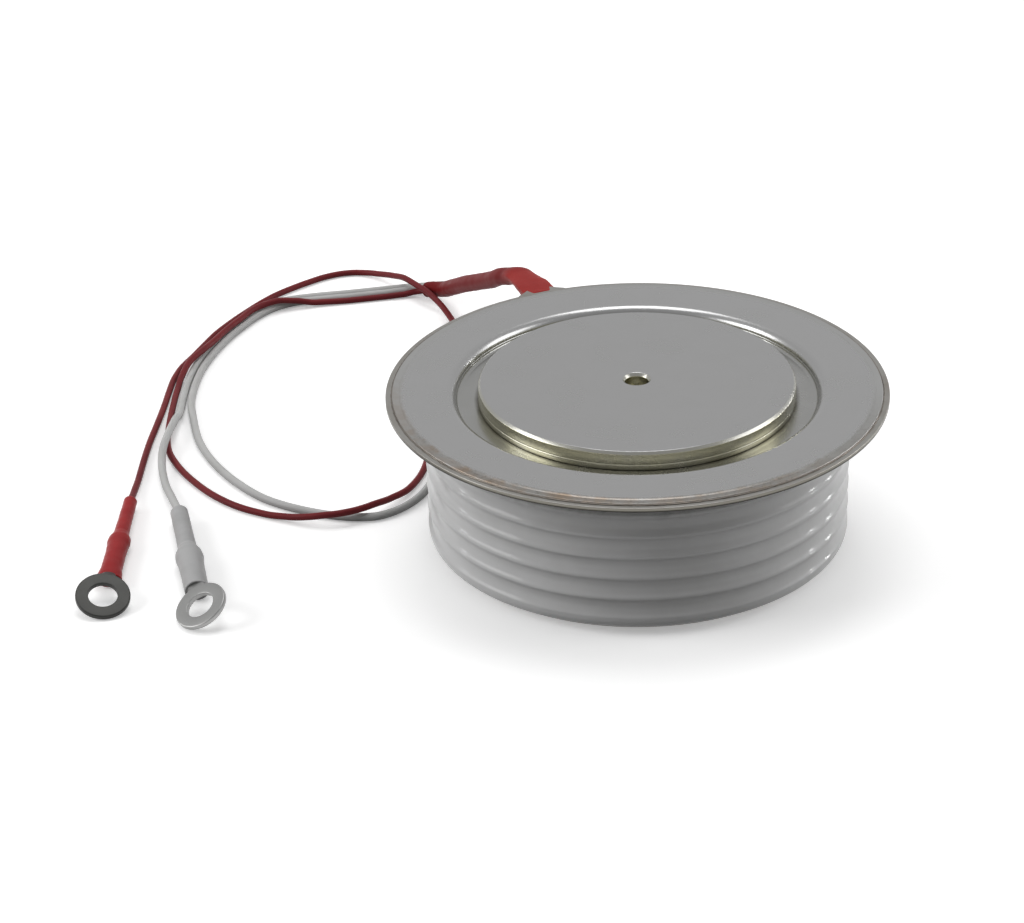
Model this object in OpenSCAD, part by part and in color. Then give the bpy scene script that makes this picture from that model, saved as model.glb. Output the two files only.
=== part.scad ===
// Disc thyristor in a press-pack case: two copper poles in a scalloped ceramic ring,
// with a gate lead and an auxiliary cathode lead that end in ring lugs.
// The axis is +Z, and the origin is the centre of the lower (anode) contact face.

/* [Case] */
// Height over the two contact faces
case_h = 26; // [25:0.1:28]
// Diameter of the two contact faces
pole_d = 48; // [46:0.5:49]
// How far the cathode face stands above the flat of the cover
pole_rise = 1.1; // [0.7:0.1:1.5]
// How far the anode face stands below its sealing ring
anode_rise = 0.6; // [0.4:0.1:1]
// Width of the ledge by which each pole sits on its sheet
ledge_w = 1; // [0.6:0.1:1.6]
// Bevel round the edge of each contact face
pole_bevel = 0.4; // [0.2:0.05:0.6]

/* [Locating holes] */
// Diameter of the locating hole in each contact face
locating_d = 3.5; // [3:0.1:4]
// Depth of the locating holes
locating_depth = 2.6; // [2:0.1:3.5]
// Width of the bevel at the mouth of the locating holes
locating_bevel = 0.45; // [0.2:0.05:0.7]

/* [Ceramic ring] */
// Wall of the ceramic at a crest
ceramic_wall = 3.3; // [2.8:0.1:3.5]
// Depth of the hollows between the ribs
hollow_depth = 0.55; // [0.4:0.05:0.7]
// Radius of the hollows between the ribs
hollow_r = 2.3; // [2:0.1:2.6]
// Flat left on each crest
crest_w = 0.4; // [0.2:0.05:0.6]
// Inset of the foot of the ceramic from its crests
foot_inset = 1.7; // [1:0.1:2]

/* [Sheet metal] */
// How far the weld flange, the widest part of the case, reaches past the ceramic's crests
flange_overhang = 5.75; // [4.5:0.05:8]
// Thickness of the weld flange
weld_t = 0.4; // [0.3:0.05:0.6]
// How far the cover's edge stays inside the weld flange's edge
cover_inset = 1; // [0.6:0.1:2]
// Thickness of the cover sheet
cover_t = 0.35; // [0.25:0.05:0.45]
// Width of the pressed weld seam at the edge of the cover
seam_w = 1.2; // [0.8:0.1:2]
// Depth of the pressed weld seam
seam_depth = 0.12; // [0.05:0.01:0.15]
// Width of the flat floor of the trough, from the pole outwards
trough_w = 2.8; // [2:0.1:4]
// Depth of the trough between the pole and the rim of the cover
trough_depth = 1.8; // [1.4:0.1:2]
// Bend radius at the floor of the trough
trough_bend = 0.6; // [0.5:0.05:0.8]
// Bend radius at the shoulder of the trough
shoulder_bend = 1.6; // [1.4:0.05:1.8]
// Thickness of the anode sealing ring
seal_t = 0.5; // [0.3:0.05:0.6]

/* [Stack] */
// Height of the anode pole
anode_h = 11; // [10:0.1:12]
// How far the anode molybdenum disc's edge stays inside the pole's edge
anode_disc_inset = 0.5; // [0.3:0.1:1]
// Thickness of the anode molybdenum disc
anode_disc_t = 2; // [1.5:0.1:2.5]
// How far the silicon wafer's edge stays inside the anode disc's edge
wafer_inset = 0.5; // [0.3:0.1:0.8]
// Thickness of the silicon wafer
wafer_t = 0.6; // [0.4:0.05:0.8]
// How far the cathode molybdenum disc's edge stays inside the wafer's edge
cathode_disc_inset = 1.5; // [1:0.1:2.5]
// Thickness of the cathode molybdenum disc
cathode_disc_t = 1.2; // [1:0.1:1.5]
// Wall of the silicone bead round the wafer's edge
edge_seal_w = 0.9; // [0.6:0.1:1.2]
// Wall of the locating ring where it lines the ceramic
liner_w = 1.6; // [1:0.1:2]

/* [Gate] */
// Angle of the gate lead and the leads' ear, from +X
gate_angle = 111; // [105:1:117]
// Diameter of the gate pin's shank
gate_pin_d = 2; // [1.6:0.1:2.2]
// Diameter of the gate pin's head
gate_head_d = 3.8; // [3.4:0.1:4]
// Thickness of the gate pin's head
gate_head_t = 0.8; // [0.6:0.1:1]
// Outer diameter of the insulating cup round the gate spring
gate_cup_d = 6.4; // [6:0.1:7]
// Wall of the insulating cup
gate_cup_wall = 0.9; // [0.6:0.1:1]
// Height of the insulating cup
gate_cup_h = 6.2; // [5:0.1:7]
// Wire diameter of the gate spring
spring_wire_d = 0.5; // [0.4:0.05:0.6]
// Turns of the gate spring
spring_turns = 4; // [3:1:5]
// Outer diameter of the gate feed-through tube
gate_tube_d = 2; // [1.8:0.1:2.2]
// Wall of the gate feed-through tube
gate_tube_wall = 0.4; // [0.3:0.05:0.5]
// Diameter of the wire inside the case
inner_wire_d = 0.8; // [0.6:0.05:0.9]

/* [Leads] */
// Diameter of the white gate lead
gate_lead_d = 1.3; // [1.1:0.05:1.3]
// Diameter of the red cathode lead
cathode_lead_d = 1.1; // [0.9:0.05:1.1]
// Width of the ear at the edge of the weld flange
ear_root_w = 6.6; // [5:0.2:8]
// Width of the ear at its tip
ear_tip_w = 2.8; // [2:0.1:3]
// Reach of the ear past the weld flange
ear_len = 3.6; // [3:0.1:4.5]

/* [Ring lugs] */
// Outer diameter of the lugs' rings
lug_ring_d = 8.2; // [7.6:0.1:9]
// Diameter of the lugs' holes
lug_hole_d = 4.4; // [4.2:0.1:5]
// Thickness of the lugs' sheet
lug_t = 0.8; // [0.6:0.1:1]
// Distance from the mouth of a lug's sleeve to the middle of its ring
lug_reach = 5.6; // [5.4:0.1:7]
// Length of a lug's barrel
lug_barrel_len = 8; // [6:0.5:10]
// Diameter of the cathode lug's barrel
cathode_barrel_d = 2; // [1.6:0.1:2.2]
// Diameter of the gate lug's barrel
gate_barrel_d = 2.6; // [2.2:0.1:2.9]
// Diameter of the cathode lug's sleeve over its barrel
cathode_sleeve_d = 2.9; // [2.8:0.1:3.2]
// Diameter of the gate lug's sleeve over its barrel
gate_sleeve_d = 3.8; // [3.6:0.1:4]
// Diameter of the cathode lug's sleeve over its lead
cathode_neck_d = 1.9; // [1.6:0.1:2.2]
// Diameter of the gate lug's sleeve over its lead
gate_neck_d = 2.6; // [2.2:0.1:2.9]
// Length of a lug's sleeve over its barrel
lug_sleeve_len = 13; // [11:0.5:15]
// Length of a lug's sleeve over its lead
lug_neck_len = 12; // [10:0.5:14]

/* [Hidden] */
$fn = 96;

// Gap of a brazed or pressed seat
seat_gap = 0.05;
// Gap between parts that only locate one another
free_gap = 0.15;
// Gap between the table and what lies on it
table_gap = 0.05;
// Room that a cut takes past the face that it opens
cut_over = 1;
// Straight steps in each bend of the sheet metal
bend_steps = 8;
// Sides of a lead
lead_sides = 8;

// Heights of the case
cover_top = case_h - pole_rise;
cover_bottom = cover_top - cover_t;
weld_bottom = cover_bottom - weld_t;
trough_floor = cover_top - trough_depth;
seal_top = anode_rise + seal_t;
ceramic_h = weld_bottom - seal_top;

// Heights of the stack
anode_disc_top = anode_h + anode_disc_t;
wafer_top = anode_disc_top + wafer_t;
stack_top = wafer_top + cathode_disc_t;

// Radii of the case
pole_r = pole_d / 2;
neck_r = pole_r - ledge_w;
trough_r = pole_r + trough_w;

// Radii of the stack
anode_disc_r = pole_r - anode_disc_inset;
wafer_r = anode_disc_r - wafer_inset;
cathode_disc_r = wafer_r - cathode_disc_inset;

// The trough's side is two bends that meet at this angle
bend_sum = trough_bend + shoulder_bend;
bend_angle = acos(1 - trough_depth / bend_sum);
bend_run = bend_sum * sin(bend_angle);
shoulder_r = trough_r + bend_run;

// Radii outside the trough
ceramic_in_r = shoulder_r;
ceramic_r = ceramic_in_r + ceramic_wall;
foot_r = ceramic_r - foot_inset;
flange_r = ceramic_r + flange_overhang;
cover_r = flange_r - cover_inset;

// Hollows of the ceramic: chord of one hollow, and as many as fit above the foot
hollow_w = 2 * sqrt(hollow_r * hollow_r - (hollow_r - hollow_depth) * (hollow_r - hollow_depth));
hollow_pitch = hollow_w + crest_w;
top_land = 1;
foot_h = 1.6;
hollow_count = floor((ceramic_h - top_land - foot_h) / hollow_pitch);

// Gate parts
gate_pin_hole_d = gate_pin_d + 4 * free_gap;
gate_cup_r = gate_cup_d / 2;
gate_recess_r = gate_cup_r + seat_gap;
gate_recess_top = stack_top + gate_cup_h + seat_gap;
gate_head_bottom = stack_top + free_gap;
gate_head_top = gate_head_bottom + gate_head_t;
spring_top = stack_top + gate_cup_h - gate_cup_wall;
spring_r = gate_head_d / 2 - spring_wire_d / 2 - free_gap;
gate_slot_w = inner_wire_d + 4 * free_gap;
gate_tube_r = gate_tube_d / 2;
gate_tube_z = weld_bottom - top_land - hollow_w / 2;
gate_wire_z = gate_head_bottom + gate_head_t / 2;
gate_wire_rise_r = (neck_r + ceramic_in_r) / 2;
gate_tube_in_r = ceramic_in_r - 0.6;
gate_tube_end_r = flange_r + 1.6;

// The leads' sleeve starts this far from the axis
sleeve_start_r = flange_r + 0.8;

// Where the lugs' sleeves lie: the middle of each ring, and the turn from -Y
gate_lug_at = [-65.6, -24];
gate_lug_heading = 11;
cathode_lug_at = [-80.6, -19.6];
cathode_lug_heading = -2;
// Lean of each ring from level, and the way that it leans, from the sleeve's side
gate_lug_lean = 30;
gate_lug_turn = -156;
cathode_lug_lean = 23;
cathode_lug_turn = -69;
// End of a lug's sleeve, where its lead comes out
lug_tail_len = lug_reach + lug_sleeve_len + lug_neck_len + 2 * seat_gap;
function lug_tail(at, heading, sleeve_d) =
    [at[0] - lug_tail_len * sin(heading), at[1] + lug_tail_len * cos(heading), sleeve_d / 2 + table_gap];

// Gate lead: where it leaves its sleeve, round the loop on the table and on to its lug
gate_route = [
    [-33, 88.5, 1.6], [-34.9, 89.5, 1.2], [-38, 89.2, 0.8], [-41.8, 88.5, 0.7], [-47.8, 87.4, 0.7],
    [-53.7, 86.5, 0.7], [-57.6, 85.6, 0.7], [-60.8, 83.7, 0.7], [-63.5, 80.7, 0.7], [-66, 76.4, 0.7],
    [-68.2, 71.9, 0.7], [-69.8, 67.7, 0.7], [-71.1, 63.4, 0.7], [-72, 59.5, 0.7], [-72.6, 55.1, 0.7],
    [-72.9, 51, 0.7], [-72.9, 46.6, 0.7], [-72, 40.1, 0.7], [-70.3, 31.8, 0.7], [-67.3, 24.2, 0.7],
    [-62.7, 16.7, 0.7], [-58.4, 11.8, 0.7], [-54.3, 8.9, 0.7], [-50.8, 7.1, 0.7], [-47.1, 5.7, 0.7],
    [-43.4, 5, 0.7], [-40.4, 5.2, 0.7], [-37.8, 6.6, 0.7], [-35.4, 9, 0.7], [-33.5, 12, 0.7],
    [-32.2, 15.6, 0.7], [-31.2, 20, 0.7], [-29.2, 29, 0.7], [-26.5, 42, 0.7], [-22.4, 55, 0.7],
    [-18.4, 66, 0.7], [-15.4, 75.5, 0.7], [-13.6, 82.4, 0.7], [-13.2, 86.2, 0.7], [-14.1, 89.6, 0.7],
    [-16.4, 92.2, 0.7], [-19.6, 93.4, 0.7], [-23.6, 93.1, 0.7], [-28, 92.2, 0.7], [-33, 91.4, 0.7],
    [-37.4, 90.9, 0.7], [-42.1, 90, 0.7],
    [-48.1, 88.9, 0.7], [-54, 88, 0.7], [-58.1, 87, 0.7], [-61.7, 84.9, 0.7], [-64.6, 81.6, 0.7],
    [-67.2, 77.2, 0.7], [-69.5, 72.5, 0.7], [-71.1, 68.2, 0.7], [-72.5, 63.8, 0.7], [-73.4, 59.8, 0.7],
    [-74, 55.2, 0.7], [-74.3, 51.1, 0.7], [-74.45, 46, 0.7], [-74.5, 42, 1], [-74.9, 37.5, 1.9],
    [-75.5, 32.5, 2.1], [-75.9, 28, 2], [-75.7, 23, 1.4], [-74.6, 17, 1], [-73, 11.4, 1.4],
    lug_tail(gate_lug_at, gate_lug_heading, gate_sleeve_d)
];

// Cathode lead: the same loop, from its sleeve to its lug
cathode_route = [
    [-34.1, 87.3, 1.6], [-35.8, 88, 1.1], [-38, 87.8, 0.7], [-41.6, 87.2, 0.6], [-47.6, 86.1, 0.6],
    [-53.5, 85.2, 0.8], [-57.2, 84.4, 1.6], [-60.6, 83.4, 2.1], [-64.1, 81.1, 1.9], [-66.6, 76.8, 1.85],
    [-68.9, 72.2, 1.85], [-70.6, 68, 1.9], [-72.3, 64, 2.05], [-74.2, 60, 1.85], [-75.25, 56.2, 1.1],
    [-75.7, 51.6, 0.6], [-75.9, 46, 0.6], [-75.9, 36.9, 0.6], [-75.7, 32.5, 0.6], [-75, 28.6, 0.6],
    [-73.4, 24.3, 0.6], [-70, 18.1, 0.6], [-66.5, 13.4, 0.6], [-62.2, 9.4, 0.6], [-58.1, 7, 0.6],
    [-54.6, 5.4, 0.9], [-51.2, 4.1, 1.5], [-47.8, 3.5, 2.1], [-44.6, 4.1, 2.25], [-41.4, 6.2, 2.1],
    [-38.4, 9.8, 1.3], [-35.6, 14, 0.7], [-33.9, 18.4, 0.6], [-32.4, 27, 0.6], [-30.6, 45, 0.6],
    [-28.9, 62, 0.6], [-28.4, 70, 0.6], [-29.2, 76.6, 0.8], [-31.4, 81.4, 1.8], [-34.3, 85.4, 2.8],
    [-37.2, 89.7, 2.8], [-40.2, 93.9, 1.8], [-43.3, 96.9, 0.9], [-46.5, 98.2, 0.6], [-49.5, 97.9, 0.6],
    [-52.5, 96.6, 0.6], [-55.5, 94.4, 0.6], [-58.4, 91.9, 0.6], [-61, 89.3, 0.6], [-63.4, 86.2, 0.6],
    [-65.8, 82.5, 0.6], [-68.5, 77.9, 0.6], [-70.9, 73.1, 0.6], [-72.55, 68.7, 0.6], [-74.1, 64.4, 0.6],
    [-75.7, 60.2, 0.6], [-76.65, 55.7, 0.6], [-77.05, 51.2, 0.6], [-77.4, 45.7, 0.6], [-78, 38.8, 0.6],
    [-78.6, 32.5, 0.6], [-79, 25.5, 0.6], [-79.2, 19.5, 0.7], [-79.4, 15, 1],
    lug_tail(cathode_lug_at, cathode_lug_heading, cathode_sleeve_d)
];

// Sleeve over both leads: its free points after the two at the ear
sleeve_route = [
    [-17, 44.4, 23.2], [-19.2, 48.4, 21.6], [-22, 57.2, 17], [-26, 69.2, 11], [-29, 79.6, 5.6],
    [-30.8, 85, 2.8], [-33.4, 87.8, 1.6]
];
// Width and height of the sleeve at each of its points
sleeve_sizes = [
    [5.2, 4.8], [5.2, 4.2], [4.2, 2.9], [3.4, 2.8], [2.9, 2.9], [2.9, 2.9], [2.9, 2.9], [2.9, 2.8], [3.1, 2.8]
];
sleeve_sides = 16;

// Points on an arc, from the lowest or highest point of the bend
function bend(centre, radius, from, to, up) =
    [for (i = [0 : bend_steps])
        let (a = from + (to - from) * i / bend_steps)
        centre + radius * (up ? [-sin(a), cos(a)] : [sin(a), -cos(a)])];

function unit(v) = v / norm(v);

function heading_at(route, i) =
    unit(route[min(i + 1, len(route) - 1)] - route[max(i - 1, 0)]);

// One ring of a swept tube, square to the route
function tube_ring(centre, heading, size, sides) =
    let (side = unit(cross(heading, [0, 0, 1])))
    let (up = cross(side, heading))
    [for (k = [0 : sides - 1])
        let (a = 360 * (k + 0.5) / sides)
        centre + side * cos(a) * size[0] / 2 + up * sin(a) * size[1] / 2];

// A tube swept along a route, with a width and a height at each point
module swept_tube(route, sizes, sides) {
    rings = len(route);
    points = [for (i = [0 : rings - 1]) each tube_ring(route[i], heading_at(route, i), sizes[i], sides)];
    walls = [for (i = [0 : rings - 2], k = [0 : sides - 1])
        let (n = (k + 1) % sides)
        [i * sides + k, (i + 1) * sides + k, (i + 1) * sides + n, i * sides + n]];
    first = [for (k = [0 : sides - 1]) k];
    last = [for (k = [sides - 1 : -1 : 0]) (rings - 1) * sides + k];
    polyhedron(points = points, faces = concat([first, last], walls), convexity = 10);
}

module lead(route, diameter) {
    swept_tube(route, [for (p = route) [diameter, diameter]], lead_sides);
}

// A ring between two radii and two heights
module ring(outer, inner, bottom, top) {
    difference() {
        translate([0, 0, bottom]) cylinder(r = outer, h = top - bottom);
        translate([0, 0, bottom - cut_over]) cylinder(r = inner, h = top - bottom + 2 * cut_over);
    }
}

// A pole with its contact face down at z = 0: a bevelled face, a ledge and a neck
module pole(face_h, height) {
    difference() {
        union() {
            cylinder(r1 = pole_r - pole_bevel, r2 = pole_r, h = pole_bevel);
            translate([0, 0, pole_bevel]) cylinder(r = pole_r, h = face_h - pole_bevel);
            cylinder(r = neck_r, h = height);
        }
        translate([0, 0, -cut_over]) cylinder(d = locating_d, h = locating_depth + cut_over);
        cylinder(d1 = locating_d + 2 * locating_bevel, d2 = locating_d, h = locating_bevel);
    }
}

// Something turned to the gate's side of the case
module gate_side() {
    rotate([0, 0, gate_angle]) children();
}

module anode_pole() {
    color([0.62, 0.62, 0.61]) pole(anode_rise, anode_h);
}

module anode_seal_ring() {
    color([0.45, 0.45, 0.44]) ring(foot_r - free_gap, neck_r + seat_gap, anode_rise, seal_top);
}

module ceramic_ring() {
    color([0.86, 0.86, 0.86]) difference() {
        union() {
            translate([0, 0, seal_top]) cylinder(r1 = foot_r, r2 = ceramic_r, h = foot_h);
            translate([0, 0, seal_top + foot_h]) cylinder(r = ceramic_r, h = ceramic_h - foot_h);
        }
        translate([0, 0, seal_top - cut_over]) cylinder(r = ceramic_in_r, h = ceramic_h + 2 * cut_over);
        for (i = [0 : hollow_count - 1])
            translate([0, 0, weld_bottom - top_land - hollow_w / 2 - i * hollow_pitch])
                rotate_extrude() translate([ceramic_r - hollow_depth + hollow_r, 0]) circle(r = hollow_r);
        gate_side() translate([0, 0, gate_tube_z]) rotate([0, 90, 0])
            cylinder(r = gate_tube_r + seat_gap, h = flange_r, $fn = 32);
    }
}

// Outline of the weld flange's ear, along +X
module ear_outline(grow) {
    tip_r = flange_r + ear_len + grow;
    polygon([[flange_r - cut_over, -ear_root_w / 2 - grow], [sleeve_start_r, -ear_tip_w / 2 - grow],
             [tip_r, -ear_tip_w / 2 - grow], [tip_r, ear_tip_w / 2 + grow],
             [sleeve_start_r, ear_tip_w / 2 + grow], [flange_r - cut_over, ear_root_w / 2 + grow]]);
}

module weld_flange() {
    color([0.6, 0.58, 0.55]) {
        ring(flange_r, shoulder_r + free_gap, weld_bottom, cover_bottom);
        gate_side() translate([0, 0, weld_bottom]) linear_extrude(weld_t) ear_outline(0);
    }
}

module locating_ring() {
    outer = ceramic_in_r - free_gap;
    inner = anode_disc_r + free_gap;
    color([0.93, 0.93, 0.9]) rotate_extrude()
        polygon([[outer - liner_w, seal_top], [outer, seal_top], [outer, anode_disc_top],
                 [inner, anode_disc_top], [inner, anode_h], [outer - liner_w, anode_h]]);
}

module anode_disc() {
    color([0.5, 0.51, 0.54]) translate([0, 0, anode_h]) cylinder(r = anode_disc_r, h = anode_disc_t);
}

module silicon_wafer() {
    color([0.3, 0.31, 0.36]) translate([0, 0, anode_disc_top]) cylinder(r = wafer_r, h = wafer_t);
}

module wafer_edge_seal() {
    inner = wafer_r + seat_gap;
    color([0.75, 0.3, 0.25]) rotate_extrude()
        polygon([[inner, anode_disc_top], [inner + edge_seal_w, anode_disc_top],
                 [inner + edge_seal_w / 2, wafer_top], [inner, wafer_top]]);
}

module cathode_disc() {
    color([0.5, 0.51, 0.54])
        ring(cathode_disc_r, gate_pin_hole_d / 2, wafer_top, stack_top);
}

module gate_pin() {
    color([0.8, 0.68, 0.4]) {
        translate([0, 0, wafer_top]) cylinder(d = gate_pin_d, h = gate_head_top - wafer_top);
        translate([0, 0, gate_head_bottom]) cylinder(d = gate_head_d, h = gate_head_t);
    }
}

module gate_spring() {
    steps = 14;
    count = steps * spring_turns;
    bottom = gate_head_top + spring_wire_d / 2;
    travel = spring_top - spring_wire_d / 2 - bottom;
    route = [for (i = [0 : count])
        let (a = 360 * i / steps)
        [spring_r * cos(a), spring_r * sin(a), bottom + travel * i / count]];
    color([0.7, 0.7, 0.72]) lead(route, spring_wire_d);
}

module gate_cup() {
    color([0.95, 0.95, 0.92]) difference() {
        translate([0, 0, stack_top]) cylinder(r = gate_cup_r, h = gate_cup_h);
        translate([0, 0, stack_top - cut_over])
            cylinder(r = gate_cup_r - gate_cup_wall, h = spring_top - stack_top + cut_over);
        gate_wire_slot();
    }
}

// Slot for the inner wire, from the gate pin to the neck's edge
module gate_wire_slot() {
    gate_side() translate([0, -gate_slot_w / 2, stack_top - cut_over])
        cube([pole_r, gate_slot_w, gate_wire_z - stack_top + gate_slot_w / 2 + cut_over]);
}

module inner_gate_wire() {
    wire_r = inner_wire_d / 2;
    wire_start = gate_head_d / 2 + seat_gap;
    rise = gate_tube_z - gate_wire_z;
    color([0.85, 0.72, 0.5]) gate_side() {
        translate([wire_start, 0, gate_wire_z]) rotate([0, 90, 0])
            cylinder(r = wire_r, h = gate_wire_rise_r - wire_start, $fn = 24);
        translate([gate_wire_rise_r, 0, gate_wire_z]) sphere(r = wire_r, $fn = 24);
        translate([gate_wire_rise_r, 0, gate_wire_z]) cylinder(r = wire_r, h = rise, $fn = 24);
        translate([gate_wire_rise_r, 0, gate_tube_z]) sphere(r = wire_r, $fn = 24);
        translate([gate_wire_rise_r, 0, gate_tube_z]) rotate([0, 90, 0])
            cylinder(r = wire_r, h = gate_tube_end_r - gate_wire_rise_r, $fn = 24);
    }
}

module gate_tube() {
    length = gate_tube_end_r - gate_tube_in_r;
    color([0.6, 0.57, 0.5]) gate_side() translate([gate_tube_in_r, 0, gate_tube_z]) rotate([0, 90, 0])
        difference() {
            cylinder(r = gate_tube_r, h = length, $fn = 32);
            translate([0, 0, -cut_over])
                cylinder(r = gate_tube_r - gate_tube_wall, h = length + 2 * cut_over, $fn = 32);
        }
}

module cathode_pole() {
    color([0.62, 0.62, 0.61]) difference() {
        translate([0, 0, case_h]) mirror([0, 0, 1]) pole(case_h - trough_floor, case_h - stack_top);
        translate([0, 0, stack_top - cut_over])
            cylinder(r = gate_recess_r, h = gate_recess_top - stack_top + cut_over);
        gate_wire_slot();
    }
}

module cover() {
    floor_at = [trough_r, trough_floor + trough_bend];
    shoulder_at = [shoulder_r, cover_top - shoulder_bend];
    inner = neck_r + seat_gap;
    seam_r = cover_r - seam_w;
    profile = concat(
        [[inner, trough_floor]],
        bend(floor_at, trough_bend, 0, bend_angle, false),
        bend(shoulder_at, shoulder_bend, bend_angle, 0, true),
        [[seam_r, cover_top], [seam_r + seam_depth, cover_top - seam_depth],
         [cover_r, cover_top - seam_depth], [cover_r, cover_bottom]],
        bend(shoulder_at, shoulder_bend - cover_t, 0, bend_angle, true),
        bend(floor_at, trough_bend + cover_t, bend_angle, 0, false),
        [[inner, trough_floor - cover_t]]);
    color([0.64, 0.63, 0.62]) rotate_extrude() polygon(profile);
}

// Point at a radius and a height on the gate's side
function gate_point(radius, z) = [radius * cos(gate_angle), radius * sin(gate_angle), z];

module lead_sleeve() {
    start_z = (weld_bottom + gate_tube_z) / 2;
    start = [gate_point(sleeve_start_r, start_z), gate_point(sleeve_start_r + 2.7, start_z + 0.3)];
    color([0.68, 0.16, 0.17]) difference() {
        swept_tube(concat(start, sleeve_route), sleeve_sizes, sleeve_sides);
        gate_side() translate([0, 0, weld_bottom - seat_gap])
            linear_extrude(weld_t + 2 * seat_gap) ear_outline(seat_gap);
        gate_side() translate([flange_r, 0, gate_tube_z]) rotate([0, 90, 0])
            cylinder(r = gate_tube_r + seat_gap, h = gate_tube_end_r - flange_r + seat_gap, $fn = 32);
    }
}

module gate_lead() {
    color([0.82, 0.82, 0.81]) lead(gate_route, gate_lead_d);
}

module cathode_lead() {
    color([0.5, 0.13, 0.15]) lead(cathode_route, cathode_lead_d);
}

// Places a lug with its ring's middle at a point and its sleeve behind it
module lug_place(at, heading) {
    translate([at[0], at[1], 0]) rotate([0, 0, heading]) children();
}

// Height of a leaning ring's middle when its low edge is on the table
function ring_z(lean) = table_gap + lug_ring_d / 2 * sin(lean) + lug_t / 2 * cos(lean);

// A ring's own plane
module ring_plane(lean, turn) {
    translate([0, 0, ring_z(lean)]) rotate([0, 0, turn]) rotate([0, lean, 0]) rotate([0, 0, -turn])
        children();
}

// A stamped ring lug: ring, bent tongue and a barrel that lies in its sleeve
module ring_lug(lean, turn, barrel_d, sleeve_d) {
    tongue_w = 3;
    tongue_root = 0.5;
    barrel_z = sleeve_d / 2 + table_gap;
    band = (lug_ring_d - lug_hole_d) / 2;
    difference() {
        union() {
            ring_plane(lean, turn) cylinder(d = lug_ring_d, h = lug_t, center = true);
            hull() {
                ring_plane(lean, turn) translate([0, lug_ring_d / 2 - band / 2, 0])
                    cube([tongue_w, band / 2, lug_t], center = true);
                translate([0, lug_reach - seat_gap, barrel_z]) rotate([90, 0, 0])
                    cylinder(d = barrel_d, h = tongue_root, $fn = 32);
            }
            translate([0, lug_reach - tongue_root, barrel_z]) rotate([-90, 0, 0])
                cylinder(d = barrel_d, h = tongue_root + lug_barrel_len, $fn = 32);
        }
        ring_plane(lean, turn) cylinder(d = lug_hole_d, h = lug_t + 2 * cut_over, center = true);
    }
}

// A shrunk sleeve over a lug's barrel and the end of its lead
module lug_sleeve(barrel_d, sleeve_d, neck_d) {
    shrink = sleeve_d - neck_d;
    translate([0, lug_reach, sleeve_d / 2 + table_gap]) rotate([-90, 0, 0]) rotate_extrude()
        polygon([[barrel_d / 2 + seat_gap, 0], [sleeve_d / 2, 0], [sleeve_d / 2, lug_sleeve_len],
                 [neck_d / 2, lug_sleeve_len + shrink], [neck_d / 2, lug_sleeve_len + lug_neck_len],
                 [0, lug_sleeve_len + lug_neck_len], [0, lug_barrel_len + seat_gap],
                 [barrel_d / 2 + seat_gap, lug_barrel_len + seat_gap]]);
}

module gate_lug_sleeve() {
    color([0.8, 0.8, 0.8]) lug_place(gate_lug_at, gate_lug_heading)
        lug_sleeve(gate_barrel_d, gate_sleeve_d, gate_neck_d);
}

module cathode_lug_sleeve() {
    color([0.66, 0.16, 0.17]) lug_place(cathode_lug_at, cathode_lug_heading)
        lug_sleeve(cathode_barrel_d, cathode_sleeve_d, cathode_neck_d);
}

module gate_lug() {
    color([0.6, 0.6, 0.6]) lug_place(gate_lug_at, gate_lug_heading)
        ring_lug(gate_lug_lean, gate_lug_turn, gate_barrel_d, gate_sleeve_d);
}

module cathode_lug() {
    color([0.28, 0.28, 0.28]) lug_place(cathode_lug_at, cathode_lug_heading)
        ring_lug(cathode_lug_lean, cathode_lug_turn, cathode_barrel_d, cathode_sleeve_d);
}

anode_pole();
anode_seal_ring();
ceramic_ring();
weld_flange();
locating_ring();
anode_disc();
silicon_wafer();
wafer_edge_seal();
cathode_disc();
gate_pin();
gate_spring();
gate_cup();
inner_gate_wire();
gate_tube();
cathode_pole();
cover();
lead_sleeve();
gate_lead();
cathode_lead();
gate_lug_sleeve();
cathode_lug_sleeve();
gate_lug();
cathode_lug();
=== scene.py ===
import math

import bmesh
import bpy
from mathutils import Matrix, Vector, noise


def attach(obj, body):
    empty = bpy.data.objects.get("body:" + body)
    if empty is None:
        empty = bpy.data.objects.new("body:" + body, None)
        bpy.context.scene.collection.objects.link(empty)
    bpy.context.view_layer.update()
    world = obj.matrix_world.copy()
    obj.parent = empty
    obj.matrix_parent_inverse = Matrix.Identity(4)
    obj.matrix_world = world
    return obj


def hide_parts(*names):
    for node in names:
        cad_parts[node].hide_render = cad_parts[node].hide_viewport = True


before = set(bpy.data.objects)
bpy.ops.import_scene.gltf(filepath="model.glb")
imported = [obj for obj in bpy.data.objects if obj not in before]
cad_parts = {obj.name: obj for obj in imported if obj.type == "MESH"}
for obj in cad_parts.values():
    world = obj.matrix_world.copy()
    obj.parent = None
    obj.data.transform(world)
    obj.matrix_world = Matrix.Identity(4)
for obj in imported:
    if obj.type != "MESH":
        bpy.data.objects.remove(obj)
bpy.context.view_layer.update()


# Anode pole: the copper block under the wafer, nickel plated. Its face is turned flat, its edge is
# broken by a small bevel, and a blind hole in the middle takes the locating pin of the cooler.
pole_r = 0.0240
pole_neck_r = 0.0230
pole_bevel = 0.0004
anode_ledge_z = 0.0006
anode_pole_top = 0.0110
pin_hole_r = 0.00175
pin_hole_bevel = 0.00045
pin_hole_depth = 0.0026
seat_gap = 0.00005


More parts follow.
